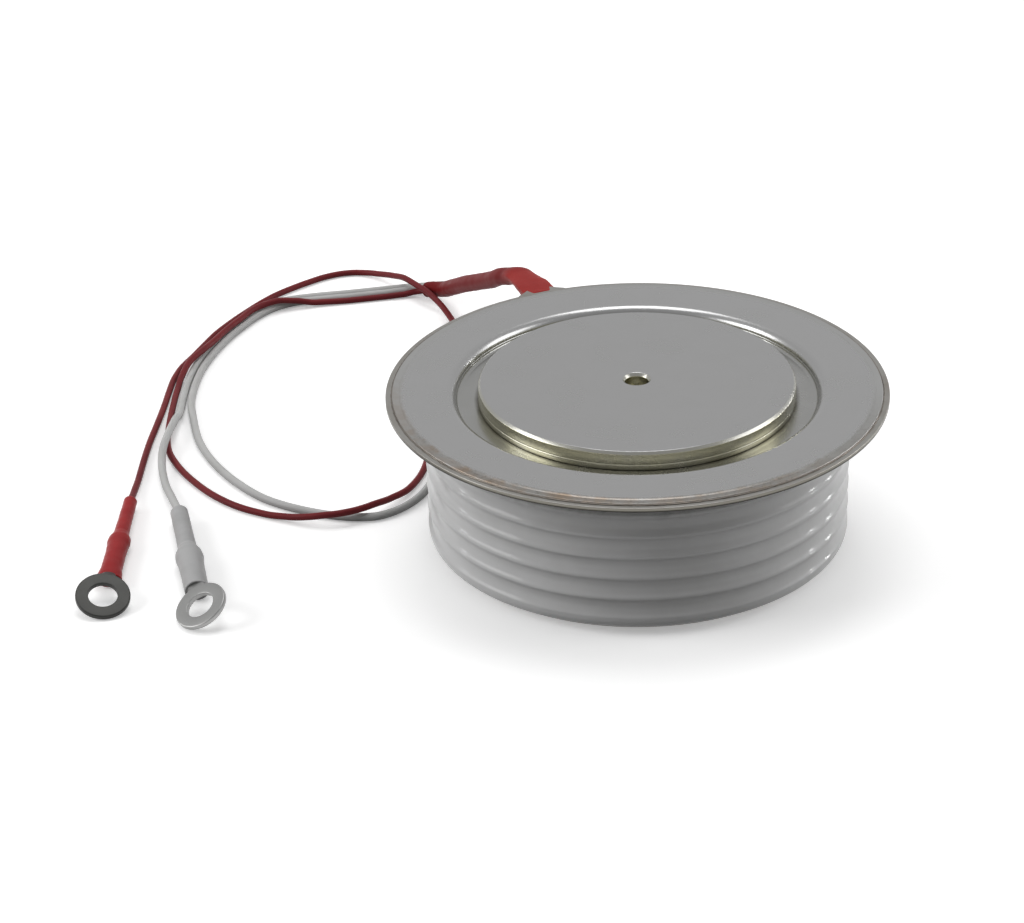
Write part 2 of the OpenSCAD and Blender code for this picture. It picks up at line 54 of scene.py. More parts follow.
def rounded(corners, steps=5):
    """Outline (r, z) through corners (r, z, fillet), each corner eased by its fillet."""
    most_of_side = 0.45
    outline = []
    for i, (r, z, fillet) in enumerate(corners):
        here = Vector((r, z))
        back = Vector(corners[i - 1][:2]) - here
        on = Vector(corners[(i + 1) % len(corners)][:2]) - here
        if fillet == 0 or back.length == 0 or on.length == 0:
            outline.append((r, z))
            continue
        reach = min(fillet, most_of_side * back.length, most_of_side * on.length)
        start = here + back.normalized() * reach
        end = here + on.normalized() * reach
        for k in range(steps + 1):
            t = k / steps
            point = start * (1 - t) ** 2 + here * 2 * t * (1 - t) + end * t ** 2
            outline.append((point.x, point.y))
    return outline


def placed(name, build):
    """An object in the scene from a built mesh, smooth all over."""
    bmesh.ops.recalc_face_normals(build, faces=build.faces)
    for face in build.faces:
        face.smooth = True
    mesh = bpy.data.meshes.new(name)
    build.to_mesh(mesh)
    build.free()
    piece = bpy.data.objects.new(name, mesh)
    bpy.context.collection.objects.link(piece)
    piece.modifiers.new("Even shading", "WEIGHTED_NORMAL")
    return piece


def joined(build, rows, closed):
    """Faces between rows of vertices that each run round a ring."""
    for low, high in zip(rows, rows[1:] + rows[:1] if closed else rows[1:]):
        for k in range(len(low)):
            n = (k + 1) % len(low)
            corners = list(dict.fromkeys((low[k], low[n], high[n], high[k])))
            if len(corners) > 2:
                build.faces.new(corners)


def turned(name, outline, segments=224, closed=True):
    """A turned piece: the outline (r, z) swept round the Z axis."""
    on_axis = 1e-7
    build = bmesh.new()
    angles = [2 * math.pi * k / segments for k in range(segments)]
    rows = []
    for r, z in outline:
        if r < on_axis:
            rows.append([build.verts.new((0, 0, z))] * segments)
        else:
            rows.append([build.verts.new((r * math.cos(a), r * math.sin(a), z)) for a in angles])
    joined(build, rows, closed)
    return placed(name, build)


def dressed(piece, material, slot, *nodes):
    """Gives a piece its material and body and hides the CAD nodes that it stands for. The finish slot is not
    used.
    """
    piece.data.materials.append(material)
    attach(piece, "root")
    if nodes:
        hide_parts(*nodes)
    return piece


def add(tree, kind, inputs=None, **settings):
    """A shader node with its settings and its inputs, which are values or the sockets to link."""
    made = tree.nodes.new(kind)
    for key, value in settings.items():
        setattr(made, key, value)
    for key, value in (inputs or {}).items():
        if isinstance(value, bpy.types.NodeSocket):
            tree.links.new(value, made.inputs[key])
        else:
            made.inputs[key].default_value = value
    return made


def math_node(tree, operation, *inputs):
    """The value of one arithmetic node."""
    return add(tree, "ShaderNodeMath", dict(enumerate(inputs)), operation=operation).outputs["Value"]


def ramp(tree, value, low, high, to_low=0.0, to_high=1.0):
    """A value mapped from one range to another and held at its ends."""
    return add(tree, "ShaderNodeMapRange", {"Value": value, "From Min": low, "From Max": high,
               "To Min": to_low, "To Max": to_high}).outputs["Result"]


def blend(tree, share, first, second):
    """A colour between two colours."""
    return add(tree, "ShaderNodeMix", {"Factor": share, "A": first, "B": second},
               data_type="RGBA").outputs["Result"]


def speckle(tree, place, scale, detail=4.0, roughness=0.6):
    """A cloudy value over the surface, in patches of about 1 / scale metres."""
    return add(tree, "ShaderNodeTexNoise", {"Vector": place, "Scale": scale, "Detail": detail,
               "Roughness": roughness}).outputs["Fac"]


def surface_place(tree):
    """The place on the piece, in the shared frame."""
    return add(tree, "ShaderNodeTexCoord").outputs["Object"]


def surface_facing(tree):
    """The direction that the surface faces."""
    return add(tree, "ShaderNodeNewGeometry").outputs["Normal"]


def coordinate(tree, vector, axis):
    """One coordinate of a vector."""
    return add(tree, "ShaderNodeSeparateXYZ", {0: vector}).outputs[axis]


def axis_distance(tree, place):
    """The distance from the case's axis."""
    flat = add(tree, "ShaderNodeVectorMath", {0: place, 1: (1, 1, 0)}, operation="MULTIPLY").outputs["Vector"]
    return add(tree, "ShaderNodeVectorMath", {0: flat}, operation="LENGTH").outputs["Value"]


def new_group(name, takes, gives):
    """An empty shader group with its named inputs and outputs."""
    group = bpy.data.node_groups.new(name, "ShaderNodeTree")
    kinds = {"color": "NodeSocketColor", "value": "NodeSocketFloat"}
    for way, sockets in (("INPUT", takes), ("OUTPUT", gives)):
        for label, kind in sockets.items():
            group.interface.new_socket(name=label, in_out=way, socket_type=kinds[kind])
    return group, group.nodes.new("NodeGroupInput").outputs, group.nodes.new("NodeGroupOutput").inputs


# Plated metal seen close: turning marks run round the axis, fingers leave dull patches, and the
# plating itself has a fine grain.
plated, given, put = new_group(
    "Plated metal",
    {"Color": "color", "Patch Color": "color", "Patches": "value", "Roughness": "value", "Turning": "value"},
    {"Color": "color", "Roughness": "value", "Height": "value"})
ring_scale, patch_scale, grain_scale = 2600.0, 150.0, 2200.0
grain_share, plating_relief = 0.06, 0.00002
place = surface_place(plated)
rings = add(plated, "ShaderNodeTexNoise", {"W": axis_distance(plated, place), "Scale": ring_scale,
            "Detail": 4.0, "Roughness": 0.7}, noise_dimensions="1D").outputs["Fac"]
patches = speckle(plated, place, patch_scale, detail=5.0)
patch_share = math_node(plated, "MULTIPLY", ramp(plated, patches, 0.45, 0.75), given["Patches"])
tone = blend(plated, patch_share, given["Color"], given["Patch Color"])
ring_tone = add(plated, "ShaderNodeVectorMath", {0: tone, "Scale": ramp(plated, rings, 0.0, 1.0, 0.97, 1.03)},
                operation="SCALE").outputs["Vector"]
dull = math_node(plated, "ADD", ramp(plated, patches, 0.0, 1.0, -0.06, 0.06), given["Roughness"])
grain = math_node(plated, "MULTIPLY", speckle(plated, place, grain_scale, detail=2.0), grain_share)
height = math_node(plated, "MULTIPLY_ADD", rings, given["Turning"], grain)
for label, socket in (("Color", ring_tone), ("Roughness", dull), ("Height", height)):
    plated.links.new(socket, put[label])


def detailed(name, group, inputs, bump, bump_depth, **constants):
    """A material whose colour, roughness and relief come from a shader group with these inputs."""
    material = bpy.data.materials.new(name)
    material.use_nodes = True
    tree = material.node_tree
    shader = tree.nodes["Principled BSDF"]
    for label, value in constants.items():
        shader.inputs[label.replace("_", " ")].default_value = value
    skin = add(tree, "ShaderNodeGroup", node_tree=group)
    for label, value in inputs.items():
        skin.inputs[label].default_value = value
    relief = add(tree, "ShaderNodeBump", {"Height": skin.outputs["Height"], "Strength": bump,
                 "Distance": bump_depth})
    tree.links.new(skin.outputs["Color"], shader.inputs["Base Color"])
    tree.links.new(skin.outputs["Roughness"], shader.inputs["Roughness"])
    tree.links.new(relief.outputs["Normal"], shader.inputs["Normal"])
    return material, tree, skin, relief


def plate(name, color, patch_color, patches, roughness, turning, bump):
    """A plated metal with its own tone, dull patches and turning marks."""
    return detailed(name, plated, {"Color": (*color, 1), "Patch Color": (*patch_color, 1), "Patches": patches,
                    "Roughness": roughness, "Turning": turning}, bump, plating_relief, Metallic=1.0)


# The plating is grey. The poles' sides, bevels and hole walls are blended to khaki by the way they
# face: a painted reflection.
face_grey, painted_reflection_khaki = (0.43, 0.43, 0.43), (0.52, 0.50, 0.36)
pole_plate, tree, skin, _ = plate(
    "pole plate", face_grey, (0.40, 0.40, 0.395), patches=0.5, roughness=0.26, turning=1.0, bump=0.08)
facing_ends = math_node(tree, "ABSOLUTE", coordinate(tree, surface_facing(tree), "Z"))
reflection_tint_share = ramp(tree, facing_ends, 0.85, 0.35)
tree.links.new(blend(tree, reflection_tint_share, (*face_grey, 1), (*painted_reflection_khaki, 1)), skin.inputs["Color"])
dressed(turned("pole_anode", rounded([
    (0, anode_pole_top, 0), (pole_neck_r, anode_pole_top, 0.0002), (pole_neck_r, anode_ledge_z, 0.0001),
    (pole_r, anode_ledge_z, 0.0001), (pole_r, pole_bevel, 0.0002), (pole_r - pole_bevel, 0, 0.0002),
    (pin_hole_r + pin_hole_bevel, 0, 0.0001), (pin_hole_r, pin_hole_bevel, 0.0001),
    (pin_hole_r, pin_hole_depth, 0.0003), (0, pin_hole_depth, 0)]), closed=False),
    pole_plate, "nickel_plate", "anode_pole")


# Anode sealing ring: a flat ring of plated sheet, brazed to the pole's ledge and to the foot of the
# ceramic. Only its dark edge shows under the case.
seal_ring_r = 0.03046
seal_ring_top = 0.0011
seal_plate = plate("sealing ring plate", (0.26, 0.25, 0.24), (0.16, 0.14, 0.12),
                   patches=0.9, roughness=0.42, turning=0.4, bump=0.3)[0]
dressed(turned("ring_anode_seal", rounded([
    (pole_neck_r + seat_gap, anode_ledge_z, 0), (seal_ring_r, anode_ledge_z, 0.00015),
    (seal_ring_r, seal_ring_top, 0.00015), (pole_neck_r + seat_gap, seal_ring_top, 0)])),
    seal_plate, "sheet_metal", "anode_seal_ring")


# Ceramic ring: pressed and fired alumina with a white glaze. The ribs round it lengthen the way
# across its surface. The glaze runs a little uneven, and handling has left smudges under the rim.
ceramic_r = 0.03226
ceramic_in_r = 0.02896
ceramic_bottom = seal_ring_top
ceramic_top = 0.02415
hollow_r, hollow_depth, hollow_pitch = 0.0023, 0.00055, 0.003385
hollow_count = 6
hollow_half = math.sqrt(hollow_r ** 2 - (hollow_r - hollow_depth) ** 2)
top_land = 0.001
top_hollow_z = ceramic_top - top_land - hollow_half
foot_inset, foot_height = 0.0017, 0.0016
ceramic_rows = 240


def ceramic_reach(z):
    """Radius of the ribbed outside at a height, before the crests are eased."""
    reach = ceramic_r
    for i in range(hollow_count):
        off = abs(z - (top_hollow_z - i * hollow_pitch))
        if off < hollow_half:
            reach -= math.sqrt(hollow_r ** 2 - off ** 2) - (hollow_r - hollow_depth)
    low = z - ceramic_bottom
    if low < foot_height:
        reach -= foot_inset * (1 - math.sqrt(1 - (1 - low / foot_height) ** 2))
    return reach


ceramic_zs = [ceramic_bottom + (ceramic_top - ceramic_bottom) * i / ceramic_rows
              for i in range(ceramic_rows + 1)]
crisp = [ceramic_reach(z) for z in ceramic_zs]
neighbours = [crisp[max(i - 1, 0):i + 2] for i in range(ceramic_rows + 1)]
eased = [sum(near) / len(near) for near in neighbours]

glaze = bpy.data.materials.new("white glaze")
glaze.use_nodes = True
tree = glaze.node_tree
shader = tree.nodes["Principled BSDF"]
shader.inputs["Roughness"].default_value = 0.32
shader.inputs["Specular IOR Level"].default_value = 0.2
shader.inputs["Coat Weight"].default_value = 0.3
shader.inputs["Coat Roughness"].default_value = 0.1
fired_white, fired_grey, smudge_grey = (0.62, 0.62, 0.62, 1), (0.56, 0.56, 0.555, 1), (0.16, 0.16, 0.16, 1)
smudge_from_z, smudge_full_z, smudge_strength = 0.0188, 0.0206, 0.4
flow_strength, flow_depth = 0.6, 0.0001
place = surface_place(tree)
fired = blend(tree, ramp(tree, speckle(tree, place, 90.0, detail=6.0), 0.4, 0.8), fired_white, fired_grey)
under_rim = ramp(tree, coordinate(tree, place, "Z"), smudge_from_z, smudge_full_z)
smudges = ramp(tree, speckle(tree, place, 300.0, detail=5.0), 0.52, 0.70)
smudge_share = math_node(tree, "MULTIPLY", math_node(tree, "MULTIPLY", under_rim, smudges), smudge_strength)
flow = add(tree, "ShaderNodeBump", {"Height": speckle(tree, place, 320.0, detail=2.0),
           "Strength": flow_strength, "Distance": flow_depth})
tree.links.new(blend(tree, smudge_share, fired, smudge_grey), shader.inputs["Base Color"])
tree.links.new(flow.outputs["Normal"], shader.inputs["Normal"])
dressed(turned("ring_ceramic", list(zip(eased, ceramic_zs))
               + [(ceramic_in_r, ceramic_top), (ceramic_in_r, ceramic_bottom)]),
        glaze, "glazed_ceramic", "ceramic_ring")


# Weld flange: the lower sheet, brazed on the ceramic and a little wider than the cover. An ear at
# the leads' side holds them. Its sheared edge is turned down a little and browned by the furnace.
# Its underside and its turned-down lip carry painted shade, nearly black at the lip.
flange_r = 0.03801
flange_in_r = 0.02911
weld_bottom, weld_top = 0.02415, 0.02455
lip_r, lip_drop = 0.0369, 0.0003
gate_angle = math.radians(111)
ear_inset, ear_ease = 0.00003, 0.00012
ear_outline = [(0.0378, 0.0046), (0.0381, 0.0038), (0.0386, 0.0028), (0.0393, 0.0019), (0.0400, 0.0014),
               (0.0416, 0.0014)]
lip_shade_from_z, lip_shade_full_z = weld_bottom + 0.0001, weld_bottom - 0.00015
flange_segments = 320
flange_tone, flange_patch = (0.36, 0.35, 0.33), (0.27, 0.245, 0.215)
edge_tone, painted_under_shade, painted_lip_shade = (0.20, 0.19, 0.165, 1), (0.16, 0.15, 0.135, 1), (0.022, 0.021, 0.018, 1)
flange_plate, tree, skin, _ = plate(
    "flange plate", flange_tone, flange_patch, patches=0.8, roughness=0.32, turning=0.4, bump=0.2)
facing_up = coordinate(tree, surface_facing(tree), "Z")
edge_share = ramp(tree, facing_up, 0.8, 0.2)
# Painted shade: faces turned downward are darkened, and the lip below the sheet's underside is painted nearly
# black.
under_shade_share = ramp(tree, facing_up, -0.1, -0.6)
lip_shade_share = ramp(tree, coordinate(tree, surface_place(tree), "Z"), lip_shade_from_z, lip_shade_full_z)
for label, color in (("Color", flange_tone), ("Patch Color", flange_patch)):
    edged = blend(tree, edge_share, (*color, 1), edge_tone)
    under = blend(tree, under_shade_share, edged, painted_under_shade)
    tree.links.new(blend(tree, lip_shade_share, under, painted_lip_shade), skin.inputs[label])
dressed(turned("flange_weld", rounded([
    (flange_in_r, weld_bottom, 0), (lip_r, weld_bottom, 0.0001),
    (lip_r + lip_drop, weld_bottom - lip_drop, 0.0001), (flange_r, weld_bottom - lip_drop, 0.00018),
    (flange_r, weld_top, 0.00012), (flange_in_r, weld_top, 0)]), flange_segments),
    flange_plate, "sheet_metal", "weld_flange")

build = bmesh.new()
spin = Matrix.Rotation(gate_angle, 3, "Z")
around = ear_outline + [(r, -half) for r, half in reversed(ear_outline)]
faces = [[build.verts.new(spin @ Vector((r, half, z))) for r, half in around]
         for z in (weld_bottom + ear_inset, weld_top - ear_inset)]
joined(build, faces, False)
for corners in faces:
    build.faces.new(corners)
bmesh.ops.bevel(build, geom=build.edges[:], offset=ear_ease, segments=2, affect="EDGES")
dressed(placed("flange_ear", build), flange_plate, "sheet_metal")


# Inside the case: the wafer between two molybdenum discs, its edge bead and locating ring, and the
# sprung gate contact with its wire and feed-through tube. The solids carry over with their finishes.
inner_finishes = {
    "lapped molybdenum": ((0.40, 0.41, 0.44), 0.35, 1.0, ["anode_disc", "cathode_disc"]),
    "metal layer on silicon": ((0.48, 0.48, 0.52), 0.18, 1.0, ["silicon_wafer"]),
    "silicone bead": ((0.50, 0.12, 0.08), 0.45, 0.0, ["wafer_edge_seal"]),
    "white insulator": ((0.78, 0.78, 0.74), 0.50, 0.0, ["locating_ring", "gate_cup"]),
    "plated gate contact": ((0.70, 0.52, 0.22), 0.30, 1.0, ["gate_pin"]),
    "spring wire": ((0.52, 0.52, 0.54), 0.30, 1.0, ["gate_spring"]),
    "silvered wire": ((0.70, 0.68, 0.62), 0.30, 1.0, ["inner_gate_wire"]),
    "drawn tube": ((0.45, 0.42, 0.36), 0.38, 1.0, ["gate_tube"]),
}
patch_dimming, inner_patches, inner_turning, inner_bump = 0.8, 0.8, 0.5, 0.2
for name, (color, roughness, metallic, node_names) in inner_finishes.items():
    dimmed = tuple(patch_dimming * c for c in color)
    material = detailed(name, plated, {"Color": (*color, 1), "Patch Color": (*dimmed, 1),
                        "Patches": inner_patches, "Roughness": roughness, "Turning": inner_turning},
                        inner_bump, plating_relief, Metallic=metallic)[0]
    for node_name in node_names:
        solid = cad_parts[node_name].data
        solid.materials.clear()
        solid.materials.append(material)


# Cathode pole: the upper copper block, plated like the lower one. Its face is ground flat, a thin
# groove runs round its side, and the same locating hole is in its middle.
case_top = 0.0260
trough_floor = 0.0231
stack_top = 0.0148
groove_z, groove_half, groove_depth = 0.0240, 0.00012, 0.0001
gate_recess_r, gate_recess_top = 0.0032, 0.0210
bevel_ease = 0.00006
pole_segments = 640
dressed(turned("pole_cathode", rounded([
    (0, case_top - pin_hole_depth, 0), (pin_hole_r, case_top - pin_hole_depth, 0.0003),
    (pin_hole_r, case_top - pin_hole_bevel, 0.0001), (pin_hole_r + pin_hole_bevel, case_top, 0.0001),
    (pole_r - pole_bevel, case_top, bevel_ease), (pole_r, case_top - pole_bevel, bevel_ease),
    (pole_r, groove_z + groove_half, 0.00004), (pole_r - groove_depth, groove_z, 0),
    (pole_r, groove_z - groove_half, 0.00004), (pole_r, trough_floor, 0.0001),
    (pole_neck_r, trough_floor, 0.0001), (pole_neck_r, stack_top, 0.0002), (gate_recess_r, stack_top, 0),
    (gate_recess_r, gate_recess_top, 0), (0, gate_recess_top, 0)]), pole_segments, closed=False),
    pole_plate, "nickel_plate", "cathode_pole")


# Cover: thin plated sheet, pressed into a trough round the pole so that it gives a little when the
# case is clamped. Its rim is seam welded to the flange, which leaves a pressed and tinted band.
cover_r = 0.03701
cover_t = 0.00035
cover_top = 0.0249
trough_r = 0.0268
trough_bend, shoulder_bend = 0.0006, 0.0016
seam_w, seam_depth, seam_dip, edge_ease = 0.0012, 0.00012, 0.00002, 0.00008
seam_r = cover_r - seam_w
cover_segments = 720
bend_angle = math.acos(1 - (cover_top - trough_floor) / (trough_bend + shoulder_bend))
shoulder_r = trough_r + (trough_bend + shoulder_bend) * math.sin(bend_angle)


def bend(r, z, radius, start, end, crest, steps=14):
    """Points on a bend of the sheet about (r, z), over a crest or along a dip."""
    side = 1 if crest else -1
    turn = [start + (end - start) * k / steps for k in range(steps + 1)]
    return [(r - side * radius * math.sin(a), z + side * radius * math.cos(a)) for a in turn]


dip = (trough_r, trough_floor + trough_bend)
crest = (shoulder_r, cover_top - shoulder_bend)
cover_outline = (
    [(pole_neck_r + seat_gap, trough_floor)]
    + bend(*dip, trough_bend, 0, bend_angle, False)
    + bend(*crest, shoulder_bend, bend_angle, 0, True)
    + [(seam_r - 2 * edge_ease, cover_top), (seam_r - edge_ease, cover_top), (seam_r, cover_top - seam_dip),
       (seam_r + seam_depth, cover_top - seam_depth), (seam_r + seam_depth + edge_ease, cover_top - seam_depth),
       (cover_r - 2 * edge_ease, cover_top - seam_depth), (cover_r - edge_ease, cover_top - seam_depth),
       (cover_r, cover_top - seam_depth - edge_ease),
       (cover_r, cover_top - cover_t)]
    + bend(*crest, shoulder_bend - cover_t, 0, bend_angle, True)
    + bend(*dip, trough_bend + cover_t, bend_angle, 0, False)
    + [(pole_neck_r + seat_gap, trough_floor - cover_t)])

# Painted shade darkens the trough, down to a painted shadow in the crevice at the pole. The pressed
# seam is painted darker along the front as shade, with soot in it, and browned at the front left.
sheet_tone, sheet_patch = (0.44, 0.44, 0.44), (0.41, 0.41, 0.405)
painted_trough_shade, painted_crevice_shadow = (0.36, 0.36, 0.35, 1), (0.12, 0.115, 0.10, 1)
seam_pale, seam_front_shade = (0.40, 0.40, 0.395, 1), (0.29, 0.28, 0.265, 1)
burn_brown, soot_black = (0.28, 0.22, 0.17, 1), (0.12, 0.105, 0.09, 1)
front_way, browned_way = (0, -1, 0), (-0.45, -0.89, 0)
sheet_roughness, seam_roughness = 0.26, 0.40
seam_ragged, seam_relief, soot_strength = 0.0014, 4.0, 0.6
trough_shade_from_z, trough_shade_full_z = cover_top - 0.0006, cover_top - 0.0014
crevice_from_r, crevice_full_r = pole_r + 0.0007, pole_r + 0.0001
seam_from_r, seam_full_r = seam_r + 0.0002, seam_r + 0.0007


def toward(tree, vector, way):
    """How far a vector points toward a way."""
    return add(tree, "ShaderNodeVectorMath", {0: vector, 1: way}, operation="DOT_PRODUCT").outputs["Value"]


cover_plate, tree, skin, relief = plate(
    "cover plate", sheet_tone, sheet_patch, patches=0.5, roughness=sheet_roughness, turning=0.8, bump=0.08)
place = surface_place(tree)
from_axis = axis_distance(tree, place)
# Painted shade: darker low in the trough, and darkest in the crevice against the pole.
in_trough = ramp(tree, coordinate(tree, place, "Z"), trough_shade_from_z, trough_shade_full_z)
at_pole = ramp(tree, from_axis, crevice_from_r, crevice_full_r)
sheet = blend(tree, in_trough, (*sheet_tone, 1), blend(tree, at_pole, painted_trough_shade, painted_crevice_shadow))
ragged = speckle(tree, place, 900.0, detail=6.0, roughness=0.7)
ragged_r = math_node(tree, "MULTIPLY_ADD", ragged, seam_ragged, from_axis)
seam_share = ramp(tree, ragged_r, seam_from_r, seam_full_r)
way = add(tree, "ShaderNodeVectorMath", {0: place}, operation="NORMALIZE").outputs["Vector"]
# Painted shade: the seam band darkens where it faces the front, and the soot is put only there.
front_shade_and_soot = ramp(tree, toward(tree, way, front_way), 0.1, 0.6)
browned = math_node(tree, "MULTIPLY", ramp(tree, speckle(tree, place, 260.0, detail=3.0), 0.40, 0.62),
                    ramp(tree, toward(tree, way, browned_way), 0.15, 0.85))
burn = blend(tree, browned, blend(tree, front_shade_and_soot, seam_pale, seam_front_shade), burn_brown)
soot_share = math_node(tree, "MULTIPLY", ramp(tree, speckle(tree, place, 2400.0, detail=3.0), 0.50, 0.70),
                       math_node(tree, "MULTIPLY", front_shade_and_soot, soot_strength))
soot = blend(tree, soot_share, burn, soot_black)
tree.links.new(blend(tree, seam_share, sheet, soot), skin.inputs["Color"])
tree.links.new(ramp(tree, seam_share, 0.0, 1.0, sheet_roughness, seam_roughness), skin.inputs["Roughness"])
pressed = math_node(tree, "MULTIPLY", seam_share, math_node(tree, "MULTIPLY", ragged, seam_relief))
tree.links.new(math_node(tree, "ADD", skin.outputs["Height"], pressed), relief.inputs["Height"])
dressed(turned("cover_sheet", cover_outline, cover_segments), cover_plate, "cover_sheet", "cover")


# Weld bead: metal that the seam weld squeezed out between the two sheets. It runs round the cover's
# edge as a thin uneven line, browned by the heat.
bead_segments, bead_sides = 720, 8
bead_half_w, bead_half_h, bead_wander = 0.00014, 0.00009, 0.00006
bead_r, bead_z = cover_r + 0.00008, weld_top + 0.00005
bead_brown = plate("weld bead", (0.24, 0.215, 0.19), (0.10, 0.09, 0.08),
                   patches=1.0, roughness=0.42, turning=0.2, bump=0.4)[0]
build = bmesh.new()
rows = []
for k in range(bead_segments):
    turn = 2 * math.pi * k / bead_segments
    heading = Vector((math.cos(turn), math.sin(turn), 0))
    swell = 1 + 0.5 * noise.noise(heading * 60) + 0.3 * noise.noise(heading * 190)
    middle = heading * (bead_r + bead_wander * noise.noise(heading * 35)) + Vector((0, 0, bead_z))
    loop = [2 * math.pi * j / bead_sides for j in range(bead_sides)]
    rows.append([build.verts.new(middle + heading * math.cos(a) * bead_half_w * swell
                                 + Vector((0, 0, math.sin(a) * bead_half_h * swell))) for a in loop])
joined(build, rows, True)
dressed(placed("weld_bead", build), bead_brown, "sheet_metal")


# Leads: stranded wire in a plastic skin, the white one to the gate and the thin red one to the
# cathode. They leave the ear in one sleeve, drop to the table and loop there on the way to their lugs.
gate_lead_d, cathode_lead_d = 0.0013, 0.0011
lead_gap = 0.00061
sleeve_start_r, sleeve_start_z = 0.0382, 0.0229
sleeve_flat_len, sleeve_flat_rise = 0.0033, 0.0003
gate_way = Vector((math.cos(gate_angle), math.sin(gate_angle), 0))
sleeve_route = [
    gate_way * sleeve_start_r + Vector((0, 0, sleeve_start_z)),
    gate_way * (sleeve_start_r + sleeve_flat_len) + Vector((0, 0, sleeve_start_z + sleeve_flat_rise)),
    (-0.017, 0.0444, 0.0232), (-0.0192, 0.0484, 0.0216), (-0.022, 0.0572, 0.017),
    (-0.026, 0.0692, 0.011), (-0.029, 0.0796, 0.0056), (-0.0308, 0.085, 0.0028),
    (-0.0334, 0.0878, 0.0016),
]
gate_route = [
    (-0.033, 0.0885, 0.0016), (-0.0349, 0.0895, 0.0012), (-0.038, 0.0892, 0.0008),
    (-0.0418, 0.0885, 0.0007), (-0.0478, 0.0874, 0.0007), (-0.0537, 0.0865, 0.0007),
    (-0.0576, 0.0856, 0.0007), (-0.0608, 0.0837, 0.0007), (-0.0635, 0.0807, 0.0007),
    (-0.066, 0.0764, 0.0007), (-0.0682, 0.0719, 0.0007), (-0.0698, 0.0677, 0.0007),
    (-0.0711, 0.0634, 0.0007), (-0.072, 0.0595, 0.0007), (-0.0726, 0.0551, 0.0007),
    (-0.0729, 0.051, 0.0007), (-0.0729, 0.0466, 0.0007), (-0.072, 0.0401, 0.0007),
    (-0.0703, 0.0318, 0.0007), (-0.0673, 0.0242, 0.0007), (-0.0627, 0.0167, 0.0007),
    (-0.0584, 0.0118, 0.0007), (-0.0543, 0.0089, 0.0007), (-0.0508, 0.0071, 0.0007),
    (-0.0471, 0.0057, 0.0007), (-0.0434, 0.005, 0.0007), (-0.0404, 0.0052, 0.0007),
    (-0.0378, 0.0066, 0.0007), (-0.0354, 0.009, 0.0007), (-0.0335, 0.012, 0.0007),
    (-0.0322, 0.0156, 0.0007), (-0.0312, 0.02, 0.0007), (-0.0292, 0.029, 0.0007),
    (-0.0265, 0.042, 0.0007), (-0.0224, 0.055, 0.0007), (-0.0184, 0.066, 0.0007),
    (-0.0154, 0.0755, 0.0007), (-0.0136, 0.0824, 0.0007), (-0.0132, 0.0862, 0.0007),
    (-0.0141, 0.0896, 0.0007), (-0.0164, 0.0922, 0.0007), (-0.0196, 0.0934, 0.0007),
    (-0.0236, 0.0931, 0.0007), (-0.028, 0.0922, 0.0007), (-0.033, 0.0914, 0.0007),
    (-0.0374, 0.0909, 0.0007), (-0.0421, 0.09, 0.0007), (-0.0481, 0.0889, 0.0007),
    (-0.054, 0.088, 0.0007), (-0.0581, 0.087, 0.0007), (-0.0617, 0.0849, 0.0007),
    (-0.0646, 0.0816, 0.0007), (-0.0672, 0.0772, 0.0007), (-0.0695, 0.0725, 0.0007),
    (-0.0711, 0.0682, 0.0007), (-0.0725, 0.0638, 0.0007), (-0.0734, 0.0598, 0.0007),
    (-0.074, 0.0552, 0.0007), (-0.0743, 0.0511, 0.0007), (-0.07445, 0.046, 0.0007),
    (-0.0745, 0.042, 0.001), (-0.0749, 0.0375, 0.0019), (-0.0755, 0.0325, 0.0021),
    (-0.0759, 0.028, 0.002), (-0.0757, 0.023, 0.0014), (-0.0746, 0.017, 0.001),
    (-0.073, 0.0114, 0.0014), (-0.07146, 0.00614, 0.00195),
]
